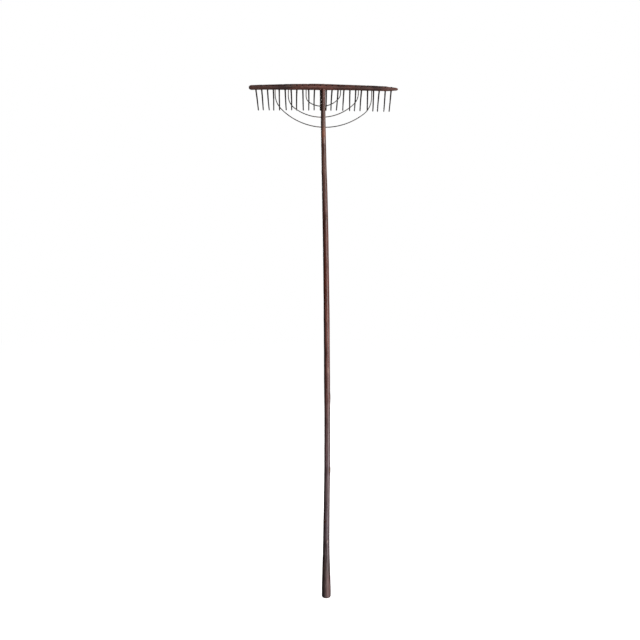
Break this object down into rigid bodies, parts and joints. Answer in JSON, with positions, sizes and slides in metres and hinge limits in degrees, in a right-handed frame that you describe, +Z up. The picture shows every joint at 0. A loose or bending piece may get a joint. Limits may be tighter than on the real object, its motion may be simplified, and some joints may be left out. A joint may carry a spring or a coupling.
{
  "type": "leaf rake",
  "caption": "Upright wooden leaf rake: a naturally bowed stick with a swollen butt, an arched head bar with driven peg teeth, and nested wire bows bracing the head.",
  "frame": {"origin": "centre of the butt's flat end face, which is the lowest point of the upright rake", "axes": "+Z up the handle from the butt to the head, +X along the head bar, +Y the way the teeth point"},
  "size_m": [0.596, 0.1233, 2.052],
  "materials": {
    "handle_wood": "aged, oiled by hand, satin",
    "head_wood": "aged, reddish, worn grey along the top",
    "tooth_wood": "dark, polished by use",
    "bow_wire": "dull drawn wire with a little rust",
    "wedge_wood": "dry, sawn end grain",
    "nail_iron": "rusty"
  },
  "bodies": {
    "root": {"handle": "handle_wood", "head_bar": "head_wood", "tooth_01": "tooth_wood", "tooth_02": "tooth_wood", "tooth_03": "tooth_wood", "tooth_04": "tooth_wood", "tooth_05": "tooth_wood", "tooth_06": "tooth_wood", "tooth_07": "tooth_wood", "tooth_08": "tooth_wood", "tooth_09": "tooth_wood", "tooth_10": "tooth_wood", "tooth_11": "tooth_wood", "tooth_12": "tooth_wood", "tooth_13": "tooth_wood", "tooth_14": "tooth_wood", "tooth_15": "tooth_wood", "tooth_16": "tooth_wood", "tooth_17": "tooth_wood", "tooth_18": "tooth_wood", "tooth_19": "tooth_wood", "tooth_20": "tooth_wood", "tooth_21": "tooth_wood", "tooth_22": "tooth_wood", "tooth_23": "tooth_wood", "tooth_24": "tooth_wood", "bow_inner": "bow_wire", "bow_middle": "bow_wire", "bow_outer": "bow_wire", "tenon_wedge": "wedge_wood", "head_nail": "nail_iron"}
  },
  "joints": []
}
